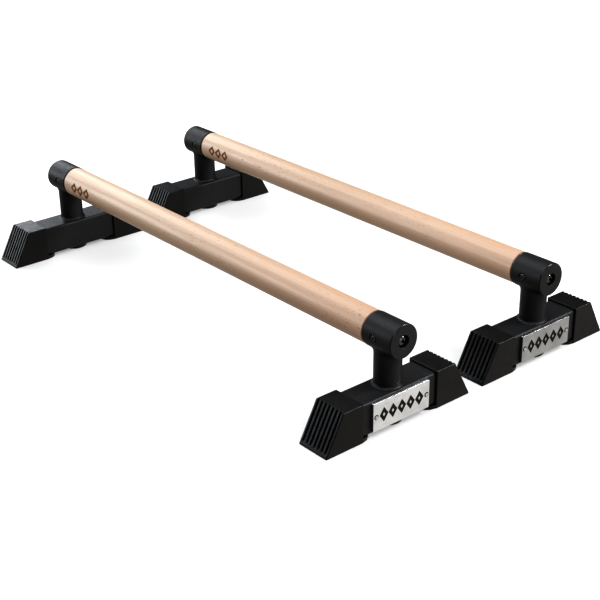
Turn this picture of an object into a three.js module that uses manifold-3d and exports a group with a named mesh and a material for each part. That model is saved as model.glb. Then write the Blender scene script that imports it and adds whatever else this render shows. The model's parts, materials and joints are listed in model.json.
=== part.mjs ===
// Pair of low parallel bars (parallettes) for floor work.
// Each bar is a round beech rail held at both ends in a steel sleeve. The sleeve is welded to a short
// round post, and the post to a square base tube that lies across the bar. Ribbed rubber caps close
// the base tubes and carry the bar. The rail is pulled into each sleeve by a bolt through the end plug.
// Units are millimetres, +Z is up, rails run along Y, and the nameplates face -Y.
import * as THREE from 'three';
import { mergeVertices } from 'three/addons/utils/BufferGeometryUtils.js';
import Module from 'manifold-3d';

const wasm = await Module();
wasm.setup();

// ---- driving dimensions ----
const BAR_SPACING = 241;          // between the two rail axes
const FOOT_SPACING = 668;         // between the two posts of one bar
const RAIL_HEIGHT = 104.6;        // rail axis above the floor
const RAIL_DIAMETER = 40;
const GAP = 0.3;                  // between pieces that touch
const ROUND_STEPS = 24;           // facets of the rail, sleeves and plugs
const POST_STEPS = 20;            // facets of posts and pads
const SMALL_STEPS = 12;           // facets of screws and rivets
const CORNER_STEPS = 3;           // facets of a rounded corner
const SCREW_FLOOR = 8;            // from the rail axis to the bottom of a side screw's pilot hole
const CUT_MARGIN = 10;            // how far a cutting shape runs past the surface it cuts

const sleeve = { outer: 41, wall: 2, inward: 20, outward: 20.8 };
const plug = { flange: 3.2, spigot: 9, bore: 15, boreDepth: 7, through: 8.6, chamfer: 0.8 };
const post = { diameter: 32, wall: 2 };
const tube = { size: 40, wall: 2.5, corner: 3, bottom: 5, halfLength: 78 };
const cap = {
  width: 45, height: 47.8, inner: 55.5, topOuter: 84.4, bottomOuter: 110,
  grooveCount: 7, groovePitch: 6, grooveWidth: 2.8, grooveDepth: 1.8, grooveFoot: 5,
  tongueReach: 16, tongueWidth: 44, tongueCorner: 16,
};
const pad = { diameter: 35, bottom: 0.2, recess: 9, recessDepth: 2.4, edge: 0.8 };
const padScrew = { head: 8, headHeight: 2, shaft: 4, length: 10 };
const tenon = { length: 31.8, chamfer: 0.8 };
const insert = { diameter: 12, length: 22 };
const railBolt = { head: 13, headHeight: 5.5, edge: 0.6, socket: 4, socketDepth: 3, shaft: 8, length: 40 };
const sideScrew = { hole: 8.6, offset: 3, head: 7.6, headHeight: 1.5, sunk: 0.5, shaft: 3.4, length: 9.5 };
const plate = { width: 85, height: 35, thickness: 3, middle: 25.5, corner: 1.2 };
const rivet = { inset: 4.5, head: 4.4, headHeight: 0.7, shaft: 2.4, length: 5.4 };

// ---- materials ----
const looks = {
  beech: { color: 0xdfb98d, roughness: 0.55, metalness: 0 },
  powderCoat: { color: 0x1d1d1f, roughness: 0.45, metalness: 0 },
  rubber: { color: 0x161617, roughness: 0.8, metalness: 0 },
  brushedSteel: { color: 0xc4c2be, roughness: 0.35, metalness: 1 },
  zinc: { color: 0xb9bbbd, roughness: 0.3, metalness: 1 },
  blackSteel: { color: 0x141415, roughness: 0.25, metalness: 0.5 },
  brass: { color: 0xb5954c, roughness: 0.35, metalness: 1 },
};

function mesh(name, geometry, look) {
  const part = new THREE.Mesh(geometry, new THREE.MeshStandardMaterial(looks[look]));
  part.name = name;
  return part;
}

// ---- solids: joining and cutting ----
function toSolid(geometry) {
  const bare = new THREE.BufferGeometry();
  bare.setAttribute('position', geometry.getAttribute('position'));
  if (geometry.index) bare.setIndex(geometry.index);
  const merged = mergeVertices(bare, 1e-4);
  return new wasm.Manifold(new wasm.Mesh({
    numProp: 3,
    vertProperties: new Float32Array(merged.getAttribute('position').array),
    triVerts: new Uint32Array(merged.index.array),
  }));
}

function toGeometry(solid) {
  const result = solid.getMesh();
  const geometry = new THREE.BufferGeometry();
  geometry.setAttribute('position', new THREE.BufferAttribute(result.vertProperties, 3));
  geometry.setIndex(new THREE.BufferAttribute(result.triVerts, 1));
  geometry.computeVertexNormals();
  return geometry;
}

function cut(geometry, ...tools) {
  return toGeometry(tools.reduce((solid, tool) => solid.subtract(toSolid(tool)), toSolid(geometry)));
}

// ---- shapes ----
// A solid of revolution about Y, from [radius, y] points.
function turned(points, steps) {
  return new THREE.LatheGeometry(points.map(([r, y]) => new THREE.Vector2(r, y)), steps);
}

function rod(diameter, from, to, steps = SMALL_STEPS) {
  return turned([[0, from], [diameter / 2, from], [diameter / 2, to], [0, to]], steps);
}

function pipe(diameter, bore, from, to, steps = ROUND_STEPS) {
  const [outer, inner] = [diameter / 2, bore / 2];
  return turned([[inner, from], [outer, from], [outer, to], [inner, to], [inner, from]], steps);
}

// A rectangle with rounded corners, centred on the origin.
function roundedRectangle(width, height, radius, PathType = THREE.Shape) {
  const [x, y] = [width / 2 - radius, height / 2 - radius];
  const outline = new PathType();
  outline.absarc(x, y, radius, 0, Math.PI / 2);
  outline.absarc(-x, y, radius, Math.PI / 2, Math.PI);
  outline.absarc(-x, -y, radius, Math.PI, 1.5 * Math.PI);
  outline.absarc(x, -y, radius, 1.5 * Math.PI, 2 * Math.PI);
  outline.closePath();
  return outline;
}

function extruded(shape, depth) {
  return new THREE.ExtrudeGeometry(shape, { depth, bevelEnabled: false, curveSegments: CORNER_STEPS });
}

// A box with its lowest corner at (x, y, z).
function block(x, y, z, width, depth, height) {
  return new THREE.BoxGeometry(width, depth, height).translate(x + width / 2, y + depth / 2, z + height / 2);
}

// ---- one end of a bar, with the post on the Z axis and the rail leaving towards +Y ----
const plugSeam = -sleeve.outward - GAP;
const plugFace = plugSeam - plug.flange;
const plugFloor = plugFace + plug.boreDepth;
const tenonEnd = sleeve.inward + GAP - tenon.length;
const rivetPlaces = [-1, 1].map((side) => side * (plate.width / 2 - rivet.inset));

// Cutters for the two rivets, through a nameplate and the front wall of its base tube.
function rivetHoles() {
  const bore = rivet.shaft + 2 * GAP;
  return rivetPlaces.map((x) => rod(bore, -tube.size, 0).translate(x, 0, plate.middle));
}

function baseTube(hasPlate) {
  const section = roundedRectangle(tube.size, tube.size, tube.corner);
  const bore = tube.size - 2 * tube.wall;
  section.holes.push(roundedRectangle(bore, bore, tube.corner / 3, THREE.Path));
  const body = extruded(section, 2 * tube.halfLength)
    .translate(0, 0, -tube.halfLength)
    .rotateY(Math.PI / 2)
    .translate(0, 0, tube.bottom + tube.size / 2);
  const padHole = rod(padScrew.shaft + 2 * GAP, 0, tube.bottom + 2 * tube.wall).rotateX(Math.PI / 2);
  return cut(body, padHole, ...(hasPlate ? rivetHoles() : []));
}

function postTube() {
  const foot = tube.bottom + tube.size + GAP;
  const standing = pipe(post.diameter, post.diameter - 2 * post.wall, foot, RAIL_HEIGHT, POST_STEPS)
    .rotateX(Math.PI / 2);
  const saddle = rod(sleeve.outer + 2 * GAP, -sleeve.outer, sleeve.outer, ROUND_STEPS)
    .translate(0, 0, RAIL_HEIGHT);
  return cut(standing, saddle);
}

function sleeveTube(screwSide) {
  const body = pipe(sleeve.outer, sleeve.outer - 2 * sleeve.wall, -sleeve.outward, sleeve.inward);
  const hole = rod(sideScrew.hole, 0, sleeve.outer)
    .rotateZ(-screwSide * Math.PI / 2)
    .translate(0, sideScrew.offset, 0);
  return cut(body, hole).translate(0, 0, RAIL_HEIGHT);
}

function endPlug() {
  const rim = sleeve.outer / 2;
  const spigot = rim - sleeve.wall - GAP;
  return turned([
    [plug.bore / 2, plugFace],
    [rim - plug.chamfer, plugFace],
    [rim, plugFace + plug.chamfer],
    [rim, plugSeam],
    [spigot, plugSeam],
    [spigot, plugSeam + plug.spigot],
    [plug.through / 2, plugSeam + plug.spigot],
    [plug.through / 2, plugFloor],
    [plug.bore / 2, plugFloor],
    [plug.bore / 2, plugFace],
  ], ROUND_STEPS).translate(0, 0, RAIL_HEIGHT);
}

function railBoltSolid() {
  const seat = plugFloor - GAP;
  const top = seat - railBolt.headHeight;
  const body = turned([
    [0, top],
    [railBolt.head / 2 - railBolt.edge, top],
    [railBolt.head / 2, top + railBolt.edge],
    [railBolt.head / 2, seat],
    [railBolt.shaft / 2, seat],
    [railBolt.shaft / 2, seat + railBolt.length],
    [0, seat + railBolt.length],
  ], SMALL_STEPS);
  const hexagon = rod(railBolt.socket / Math.cos(Math.PI / 6), -1, railBolt.socketDepth, 6)
    .translate(0, top, 0);
  return cut(body, hexagon).translate(0, 0, RAIL_HEIGHT);
}

function threadedInsert() {
  const from = tenonEnd + GAP;
  return pipe(insert.diameter, railBolt.shaft + 2 * GAP, from, from + insert.length, SMALL_STEPS)
    .translate(0, 0, RAIL_HEIGHT);
}

function sideScrewSolid(screwSide) {
  const top = sleeve.outer / 2 - sideScrew.sunk;
  const seat = top - sideScrew.headHeight;
  const dome = sideScrew.headHeight / 3;
  return turned([
    [0, seat - sideScrew.length],
    [sideScrew.shaft / 2, seat - sideScrew.length + sideScrew.shaft],
    [sideScrew.shaft / 2, seat],
    [sideScrew.head / 2, seat],
    [sideScrew.head / 2, top - dome],
    [sideScrew.head / 4, top],
    [0, top],
  ], SMALL_STEPS).rotateZ(-screwSide * Math.PI / 2).translate(0, sideScrew.offset, RAIL_HEIGHT);
}

// Side view of a cap in X and Z, with its sloping end.
function capOutline() {
  const outline = new THREE.Shape();
  outline.moveTo(cap.inner, 0);
  outline.lineTo(cap.bottomOuter, 0);
  outline.lineTo(cap.topOuter, cap.height);
  outline.lineTo(cap.inner, cap.height);
  outline.closePath();
  return outline;
}

// The tongue that a cap pushes under its tube, drawn in plan.
function capTongue() {
  const root = cap.inner + cap.tongueReach;
  const tip = cap.inner - cap.tongueReach + cap.tongueCorner;
  const side = cap.tongueWidth / 2 - cap.tongueCorner;
  const outline = new THREE.Shape();
  outline.moveTo(root, cap.tongueWidth / 2);
  outline.absarc(tip, side, cap.tongueCorner, Math.PI / 2, Math.PI);
  outline.absarc(tip, -side, cap.tongueCorner, Math.PI, 1.5 * Math.PI);
  outline.lineTo(root, -cap.tongueWidth / 2);
  outline.closePath();
  return extruded(outline, tube.bottom - GAP);
}

function endCap() {
  const body = extruded(capOutline(), cap.width).rotateX(Math.PI / 2).translate(0, cap.width / 2, 0);
  const pocketSize = tube.size + 2 * GAP;
  const pocket = extruded(roundedRectangle(pocketSize, pocketSize, tube.corner), tube.halfLength + GAP)
    .rotateY(Math.PI / 2)
    .translate(0, 0, tube.bottom + tube.size / 2);
  const slope = Math.atan2(cap.bottomOuter - cap.topOuter, cap.height);
  const grooves = Array.from({ length: cap.grooveCount }, (_, i) => {
    const y = (i - (cap.grooveCount - 1) / 2) * cap.groovePitch;
    return block(0, -cap.grooveWidth / 2, cap.grooveFoot, CUT_MARGIN, cap.grooveWidth, 2 * cap.height)
      .translate(-cap.grooveDepth, 0, 0)
      .rotateY(-slope)
      .translate(cap.bottomOuter, y, 0);
  });
  const whole = toGeometry(toSolid(body).add(toSolid(capTongue())));
  return cut(whole, pocket, ...grooves);
}

function roundPad() {
  const top = tube.bottom - GAP;
  const through = padScrew.shaft / 2 + GAP;
  return turned([
    [through, pad.bottom + pad.recessDepth],
    [pad.recess / 2, pad.bottom + pad.recessDepth],
    [pad.recess / 2, pad.bottom],
    [pad.diameter / 2 - pad.edge, pad.bottom],
    [pad.diameter / 2, pad.bottom + pad.edge],
    [pad.diameter / 2, top],
    [through, top],
    [through, pad.bottom + pad.recessDepth],
  ], POST_STEPS).rotateX(Math.PI / 2);
}

function padScrewSolid() {
  const seat = pad.bottom + pad.recessDepth - GAP;
  return turned([
    [0, seat - padScrew.headHeight],
    [padScrew.head / 3, seat - padScrew.headHeight],
    [padScrew.head / 2, seat - padScrew.headHeight / 2],
    [padScrew.head / 2, seat],
    [padScrew.shaft / 2, seat],
    [padScrew.shaft / 2, seat + padScrew.length],
    [0, seat + padScrew.length],
  ], SMALL_STEPS).rotateX(Math.PI / 2);
}

// ---- nameplate, on the outer face of a front base tube ----
const plateBack = -tube.size / 2 - GAP;

function nameplate() {
  const body = extruded(roundedRectangle(plate.width, plate.height, plate.corner), plate.thickness)
    .rotateX(Math.PI / 2)
    .translate(0, plateBack, plate.middle);
  return cut(body, ...rivetHoles());
}

function plateRivet(x) {
  const seat = plateBack - plate.thickness - GAP;
  return turned([
    [0, seat - rivet.headHeight],
    [rivet.head / 4, seat - rivet.headHeight],
    [rivet.head / 2, seat - rivet.headHeight / 3],
    [rivet.head / 2, seat],
    [rivet.shaft / 2, seat],
    [rivet.shaft / 2, seat + rivet.length],
    [0, seat + rivet.length],
  ], SMALL_STEPS).translate(x, 0, plate.middle);
}

// ---- rail ----
function railSolid() {
  const end = FOOT_SPACING / 2 - tenonEnd;
  const shoulder = end - tenon.length;
  const insertFloor = end - insert.length - 2 * GAP;
  const boltFloor = FOOT_SPACING / 2 - (plugFloor - GAP) - railBolt.length - GAP;
  const tenonRadius = sleeve.outer / 2 - sleeve.wall - GAP;
  // profile of one end, from the bottom of the bolt hole out to the tenon and back to the full diameter
  const half = [
    [0, -boltFloor],
    [railBolt.shaft / 2 + GAP, -boltFloor],
    [railBolt.shaft / 2 + GAP, -insertFloor],
    [insert.diameter / 2 + GAP, -insertFloor],
    [insert.diameter / 2 + GAP, -end],
    [tenonRadius, -end],
    [tenonRadius, -shoulder],
    [RAIL_DIAMETER / 2 - tenon.chamfer, -shoulder],
    [RAIL_DIAMETER / 2, -shoulder + tenon.chamfer],
  ];
  const body = turned([...half, ...half.map(([r, y]) => [r, -y]).reverse()], ROUND_STEPS);
  const pilotHoles = [-1, 1].map((side) => rod(sideScrew.shaft + 2 * GAP, SCREW_FLOOR, RAIL_DIAMETER)
    .rotateZ(Math.PI / 2)
    .translate(0, side * (FOOT_SPACING / 2 - sideScrew.offset), 0));
  return cut(body, ...pilotHoles).translate(0, 0, RAIL_HEIGHT);
}

// ---- assembly ----
function barEnd(prefix, screwSide, hasPlate) {
  const end = new THREE.Group();
  const add = (name, geometry, look) => end.add(mesh(`${prefix}_${name}`, geometry, look));
  add('base_tube', baseTube(hasPlate), 'powderCoat');
  add('post', postTube(), 'powderCoat');
  add('sleeve', sleeveTube(screwSide), 'powderCoat');
  add('end_plug', endPlug(), 'powderCoat');
  add('rail_bolt', railBoltSolid(), 'blackSteel');
  add('insert', threadedInsert(), 'brass');
  add('side_screw', sideScrewSolid(screwSide), 'blackSteel');
  add('cap_a', endCap(), 'rubber');
  add('cap_b', endCap().rotateZ(Math.PI), 'rubber');
  add('round_pad', roundPad(), 'rubber');
  add('pad_screw', padScrewSolid(), 'zinc');
  return end;
}

function bar(side) {
  const whole = new THREE.Group();
  const front = barEnd(`${side}_front`, -1, true);
  front.position.y = -FOOT_SPACING / 2;
  front.add(mesh(`${side}_nameplate`, nameplate(), 'brushedSteel'));
  rivetPlaces.forEach((x, i) => front.add(mesh(`${side}_plate_rivet_${i + 1}`, plateRivet(x), 'zinc')));
  const rear = barEnd(`${side}_rear`, 1, false);
  rear.position.y = FOOT_SPACING / 2;
  rear.rotation.z = Math.PI;
  whole.add(mesh(`${side}_rail`, railSolid(), 'beech'), front, rear);
  return whole;
}

const parallelBars = new THREE.Group();
for (const [side, direction] of [['left', -1], ['right', 1]]) {
  const one = bar(side);
  one.position.x = direction * BAR_SPACING / 2;
  parallelBars.add(one);
}

export default parallelBars;
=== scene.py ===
"""Looks of a pair of low parallel bars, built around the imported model. Metres, +Z up, rails along Y."""

import json
import math

import bmesh
import bpy
from mathutils import Matrix, Vector


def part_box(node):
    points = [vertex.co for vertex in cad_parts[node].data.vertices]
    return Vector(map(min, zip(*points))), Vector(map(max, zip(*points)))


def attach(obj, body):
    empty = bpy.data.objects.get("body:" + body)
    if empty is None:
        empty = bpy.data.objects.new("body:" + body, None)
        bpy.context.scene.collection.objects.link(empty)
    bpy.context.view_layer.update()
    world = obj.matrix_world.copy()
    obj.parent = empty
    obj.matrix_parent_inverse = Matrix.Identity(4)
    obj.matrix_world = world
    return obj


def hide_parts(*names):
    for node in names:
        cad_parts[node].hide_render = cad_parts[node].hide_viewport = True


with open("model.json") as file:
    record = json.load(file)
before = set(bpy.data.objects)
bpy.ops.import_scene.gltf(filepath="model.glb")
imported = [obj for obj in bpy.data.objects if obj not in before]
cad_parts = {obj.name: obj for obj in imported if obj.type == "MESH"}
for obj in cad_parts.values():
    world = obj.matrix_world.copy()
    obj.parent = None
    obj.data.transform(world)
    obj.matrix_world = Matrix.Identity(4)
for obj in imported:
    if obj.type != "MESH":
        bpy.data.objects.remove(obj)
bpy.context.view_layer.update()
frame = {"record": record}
SLOT_OF = {part["node"]: part["material_slot"] for part in frame["record"]["subparts"]}
BODY_OF = {node: body for body, nodes in frame["record"]["behaviour"]["bodies"].items() for node in nodes}
MM = 0.001

# ---- sizes read from the frame, for one end: post axis at the origin, floor at z = 0, rail towards +Y ----
END = "left_front_"
POST_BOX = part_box(END + "post")
POST_FOOT = Vector(((POST_BOX[0].x + POST_BOX[1].x) / 2, (POST_BOX[0].y + POST_BOX[1].y) / 2, 0))


def box_in_end(node):
    """(lowest, highest) corner of a node of the left front end, from the foot of its post."""
    low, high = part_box(node)
    return low - POST_FOOT, high - POST_FOOT


sleeve_low, sleeve_high = box_in_end(END + "sleeve")
plug_low, plug_high = box_in_end(END + "end_plug")
post_high = box_in_end(END + "post")[1]
tube_low, tube_high = box_in_end(END + "base_tube")
cap_low, cap_high = box_in_end(END + "cap_a")
pad_low, pad_high = box_in_end(END + "round_pad")
pad_screw_low, pad_screw_high = box_in_end(END + "pad_screw")
bolt_low, bolt_high = box_in_end(END + "rail_bolt")
insert_low, insert_high = box_in_end(END + "insert")
side_screw_low, side_screw_high = box_in_end(END + "side_screw")
plate_low, plate_high = box_in_end("left_nameplate")
rivet_low, rivet_high = box_in_end("left_plate_rivet_1")
rail_low, rail_high = box_in_end("left_rail")

RAIL_HEIGHT = (sleeve_low.z + sleeve_high.z) / 2
SLEEVE_RADIUS = (sleeve_high.z - sleeve_low.z) / 2
RAIL_RADIUS = (rail_high.z - rail_low.z) / 2
RAIL_MIDDLE = (rail_low.y + rail_high.y) / 2
POST_RADIUS = post_high.x
TUBE_SIZE = tube_high.z - tube_low.z
TUBE_MIDDLE = (tube_low.z + tube_high.z) / 2
PLATE_MIDDLE = (plate_low.z + plate_high.z) / 2
RIVET_PLACE = (rivet_low.x + rivet_high.x) / 2

# ---- detail sizes ----
ROUND_STEPS = 96                  # facets of the rail, sleeves, plugs and posts
SMALL_STEPS = 32                  # facets of screws and rivets
FILLET_STEPS = 4                  # facets of a rounded edge
SHARP_ANGLE = math.radians(40)    # edges sharper than this shade as edges
FIT = 0.05 * MM                   # play left between pieces that touch

SLEEVE_WALL = 2.0 * MM
SLEEVE_LIP = 0.6 * MM             # radius of the small edges of sleeve, plug and pad
SIDE_HOLE_RADIUS = 4.3 * MM
SIDE_HOLE_LIP = 0.8 * MM          # depth of the hole's flared mouth
PLUG_FLANGE = 3.2 * MM
PLUG_EDGE = 1.4 * MM
PLUG_BORE = 7.5 * MM
PLUG_BORE_DEPTH = 7.0 * MM
PLUG_THROUGH = 4.3 * MM
POST_WALL = 2.0 * MM
TOP_WELD = 4.2 * MM               # how far the weld under the sleeve spreads
TOP_WELD_RISE = 5.0 * MM          # how far below the joint it starts
TOP_WELD_LEAST = 0.6              # share of the spread where the joint is lowest
TOP_WELD_STEPS = 8
FOOT_WELD = 3.4 * MM              # leg of the weld fillet round the post's foot
FOOT_WELD_HOLLOW = 1.9            # 1 is a straight fillet, more is a hollow one
FOOT_WELD_RIPPLES = 34
FOOT_WELD_RIPPLE = 0.035          # share of the leg
FOOT_WELD_LEAN = 4                # how far the ripples turn from tube to post, in radians of their wave
FOOT_WELD_STEPS = 6
TUBE_WALL = 2.5 * MM
TUBE_CORNER = 3.0 * MM

CAP_INNER = 55.5 * MM             # inner face, from the post axis
CAP_TOP_OUTER = 84.4 * MM         # where the sloping face meets the top
CAP_EDGE = 1.1 * MM
CAP_MOUTH = 0.4 * MM
GROOVE_COUNT = 7
GROOVE_PITCH = 6.0 * MM
GROOVE_HALF = 1.4 * MM
GROOVE_DEPTH = 2.0 * MM           # measured level, not square to the slope
GROOVE_FOOT = 5.0 * MM            # height where the grooves begin
GROOVE_RISE = (0.85, 1.15)        # they reach their depth between these heights, in shares of that one
# heights of the sloping face's points, in the same shares
SLOPE_LEVELS = (0.7, 0.85, 0.95, 1.05, 1.15, 1.3, 3, 5, 7)
# one wall of a groove: (distance outwards from the wall in mm, share of the depth)
GROOVE_WALL = ((0.28, 0), (0.08, 0.04), (0, 0.15), (-0.08, 0.86), (-0.16, 0.96), (-0.4, 1))
TONGUE_CORNER = 16.0 * MM
TONGUE_HALF = 22.0 * MM           # half the tongue's width
TONGUE_EDGE = 0.8 * MM
TONGUE_LIFT = 0.2 * MM            # the tongue's sole, above the floor

PAD_RECESS = 4.5 * MM
PAD_RECESS_DEPTH = 2.4 * MM
PAD_SCREW_SHAFT = 2.0 * MM
SCREW_HOLE_PLAY = 0.3 * MM

BOLT_HEAD = 5.5 * MM
BOLT_CROWN = 3.2 * MM             # height of the head's domed part
BOLT_CROWN_STEPS = 8
BOLT_SOCKET = 2.0 * MM            # half the width across flats
BOLT_SOCKET_DEPTH = 3.0 * MM
BOLT_SHAFT = 4.0 * MM
THREAD_DEPTH = 0.35 * MM
THREAD_PITCH = 1.25 * MM
THREAD_CREST = (0.4, 0.5)         # where a thread's crest starts and ends, in shares of its pitch
SIDE_SCREW_HEAD = 1.5 * MM
SIDE_SCREW_SHAFT = 1.7 * MM
INSERT_PITCH = 3.0 * MM
INSERT_THREAD = 0.8 * MM
INSERT_LEAD = 0.3                 # where the insert's thread starts, in pitches from its outer end
HEXAGON = 6
CROSS_WIDTH = 0.9 * MM
CROSS_DEPTH = 1.1 * MM
CROSS_TAPER = 0.45                # the cutter's length at its outer end, as a share of that at its bottom
CROSS_REACH = 0.55                # radius of the recess, as a share of the head's
# a screw's thread depth, pitch and bare point, in shaft radii, and its head's dome, in head heights
SCREW_DEPTH, SCREW_PITCH, SCREW_POINT, SCREW_DOME = 0.25, 0.6, 1.2, 0.7

PLATE_CORNER = 1.2 * MM
PLATE_EDGE = 0.35 * MM
RIVET_HEAD = 0.7 * MM
RIVET_SHAFT = 1.2 * MM
RIVET_FLAT = 0.45                 # share of the head's radius that is flat
RIVET_BRIM = 0.35                 # share of the head's height that is upright at the edge
RIVET_SHADE_RING = 3.1 * MM             # radius of the dark ring round a rivet's head, painted shade round the head
RIVET_SHADE_RING_DEPTH = 0.25 * MM

TENON_LENGTH = 31.8 * MM
SHOULDER_EDGE = 1.2 * MM
BOLT_HOLE = 4.3 * MM
INSERT_HOLE = 6.3 * MM
PILOT_FLOOR = 8.0 * MM            # from the rail axis to the bottom of a side screw's hole

# a row of outlined lozenges, engraved in each nameplate and burnt into each rail
PLATE_MARK = {"count": 5, "pitch": 13.4 * MM, "width": 13.0 * MM, "height": 18.0 * MM, "stroke": 3.8 * MM}
RAIL_MARK = {"count": 3, "pitch": 16.0 * MM, "width": 15.5 * MM, "height": 16.0 * MM, "stroke": 3.2 * MM}
PLATE_MARK_DEPTH = 0.5 * MM
RAIL_MARK_DEPTH = 0.25 * MM
RAIL_MARK_PLACE = 64.3 * MM       # middle of the mark, from the rear post's axis
RAIL_MARK_TURN = math.radians(5)  # above level, on the -X side of the rail
MARK_EDGE_STEPS = 5
MARK_CUTTER = 3                   # height of a mark's cutter, in depths of the mark


# ---- outlines ----
def quarter_turn(steps):
    """The angles from 0 to a right angle, in that many steps."""
    return [k * math.pi / 2 / steps for k in range(steps + 1)]


def filleted(corners, closed=True):
    """Points of an outline whose corners (x, y, radius) are rounded. A radius of 0 keeps the corner."""
    points = []
    for i, (x, y, radius) in enumerate(corners):
        if radius == 0 or (not closed and i in (0, len(corners) - 1)):
            points.append((x, y))
            continue
        corner = Vector((x, y))
        before = (Vector(corners[i - 1][:2]) - corner).normalized()
        after = (Vector(corners[(i + 1) % len(corners)][:2]) - corner).normalized()
        half = before.angle(after) / 2
        centre = corner + (before + after).normalized() * radius / math.sin(half)
        spoke = corner + before * radius / math.tan(half) - centre
        turn = math.copysign(math.pi - 2 * half, spoke.cross(corner - centre))
        for k in range(FILLET_STEPS + 1):
            points.append(tuple(centre + Matrix.Rotation(turn * k / FILLET_STEPS, 2) @ spoke))
    return points


def inset(outline, distance):
    """A closed, counter-clockwise outline moved inwards."""
    points = []
    for i, point in enumerate(outline):
        here = Vector(point)
        into = (here - Vector(outline[i - 1])).normalized()
        out = (Vector(outline[(i + 1) % len(outline)]) - here).normalized()
        middle = (into.orthogonal() + out.orthogonal()).normalized()
        points.append(tuple(here + middle * distance / middle.dot(into.orthogonal())))
    return points


def rounded_rectangle(width, height, radius):
    x, y = width / 2, height / 2
    return filleted([(-x, -y, radius), (x, -y, radius), (x, y, radius), (-x, y, radius)])


# ---- meshes ----
def as_mesh(shape):
    bmesh.ops.recalc_face_normals(shape, faces=shape.faces)
    mesh = bpy.data.meshes.new("shape")
    shape.to_mesh(mesh)
    shape.free()
    return mesh


def lofted(loops, ring=False):
    """A solid skinned over closed loops of points with equal counts. A ring's last loop joins its first."""
    shape = bmesh.new()
    rows = [[shape.verts.new(point) for point in loop] for loop in loops]
    for a, b in list(zip(rows, rows[1:])) + ([(rows[-1], rows[0])] if ring else []):
        for i in range(len(a)):
            shape.faces.new((a[i - 1], a[i], b[i], b[i - 1]))
    if not ring:
        shape.faces.new(rows[0])
        shape.faces.new(rows[-1])
    return as_mesh(shape)


def turned(profile, steps=ROUND_STEPS, ring=False):
    """A solid turned about Y from (radius, y) points, which start and end on the axis or form a ring."""
    shape = bmesh.new()
    turns = [2 * math.pi * i / steps for i in range(steps)]
    rows = []
    for radius, y in profile:
        if radius == 0:
            rows.append([shape.verts.new((0, y, 0))] * steps)
        else:
            rows.append([shape.verts.new((radius * math.sin(a), y, radius * math.cos(a))) for a in turns])
    for a, b in list(zip(rows, rows[1:])) + ([(rows[-1], rows[0])] if ring else []):
        for i in range(steps):
            shape.faces.new(dict.fromkeys((a[i - 1], a[i], b[i], b[i - 1])))
    return as_mesh(shape)


def moved(mesh, *steps):
    """The mesh after the given matrices, the first one first."""
    for step in steps:
        mesh.transform(step)
    return mesh


def shift(x, y, z):
    return Matrix.Translation((x, y, z))


def spin(degrees, axis):
    return Matrix.Rotation(math.radians(degrees), 4, axis)


def combined(mesh, tools, operation="DIFFERENCE"):
    """The mesh after an exact boolean with each tool. Cut faces keep the tool's material."""
    scene = bpy.context.scene.collection
    objects = [bpy.data.objects.new("shape", part) for part in (mesh, *tools)]
    for thing in objects:
        scene.objects.link(thing)
    for tool in objects[1:]:
        step = objects[0].modifiers.new("step", "BOOLEAN")
        step.object = tool
        step.operation = operation
        step.solver = "EXACT"
        step.material_mode = "TRANSFER"
    finished = objects[0].evaluated_get(bpy.context.evaluated_depsgraph_get())
    result = bpy.data.meshes.new_from_object(finished)
    for thing in objects:
        bpy.data.objects.remove(thing)
    return result


def threaded(radius, depth, pitch, start, stop):
    """Profile points of a thread, as rings, from start to stop."""
    count = int((stop - start) / pitch)
    points = []
    for i in range(count):
        y = start + i * pitch
        points.append((radius - depth, y))
        points += [(radius, y + share * pitch) for share in THREAD_CREST]
    return points + [(radius - depth, start + count * pitch)]


def cross_recess(radius):
    """Two crossed bars that cut a screw's recess, sunk CROSS_DEPTH below y = 0."""
    bars = []
    for turn in (0, 90):
        half = CROSS_WIDTH / 2
        outline = [(-radius, -half), (radius, -half), (radius, half), (-radius, half)]
        taper = [(x * CROSS_TAPER, z) for x, z in outline]
        bar = lofted([[(x, -CROSS_DEPTH, z) for x, z in outline], [(x, CROSS_DEPTH, z) for x, z in taper]])
        bars.append(moved(bar, spin(turn, "Y")))
    return bars


# ---- the pieces of one end ----
def rod(radius, start, stop, steps=SMALL_STEPS):
    return turned([(0, start), (radius, start), (radius, stop), (0, stop)], steps)


def base_tube(has_plate):
    outer = rounded_rectangle(TUBE_SIZE, TUBE_SIZE, TUBE_CORNER)
    bore = TUBE_SIZE - 2 * TUBE_WALL
    inner = rounded_rectangle(bore, bore, TUBE_CORNER - TUBE_WALL / 2)
    ends = ((outer, tube_low.x), (outer, tube_high.x), (inner, tube_high.x), (inner, tube_low.x))
    body = lofted([[(x, y, TUBE_MIDDLE + z) for y, z in outline] for outline, x in ends], ring=True)
    holes = [moved(rod(PAD_SCREW_SHAFT + SCREW_HOLE_PLAY, 0, TUBE_MIDDLE), spin(90, "X"))]
    if has_plate:
        holes += rivet_holes()
    return combined(body, holes)


def rivet_holes():
    hole = RIVET_SHAFT + SCREW_HOLE_PLAY
    return [moved(rod(hole, -TUBE_SIZE, 0), shift(x, 0, PLATE_MIDDLE)) for x in (RIVET_PLACE, -RIVET_PLACE)]


def saddle_height(x):
    """Height of the sleeve's underside at a distance x from its middle plane."""
    return RAIL_HEIGHT - math.sqrt(SLEEVE_RADIUS ** 2 - x ** 2)


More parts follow.
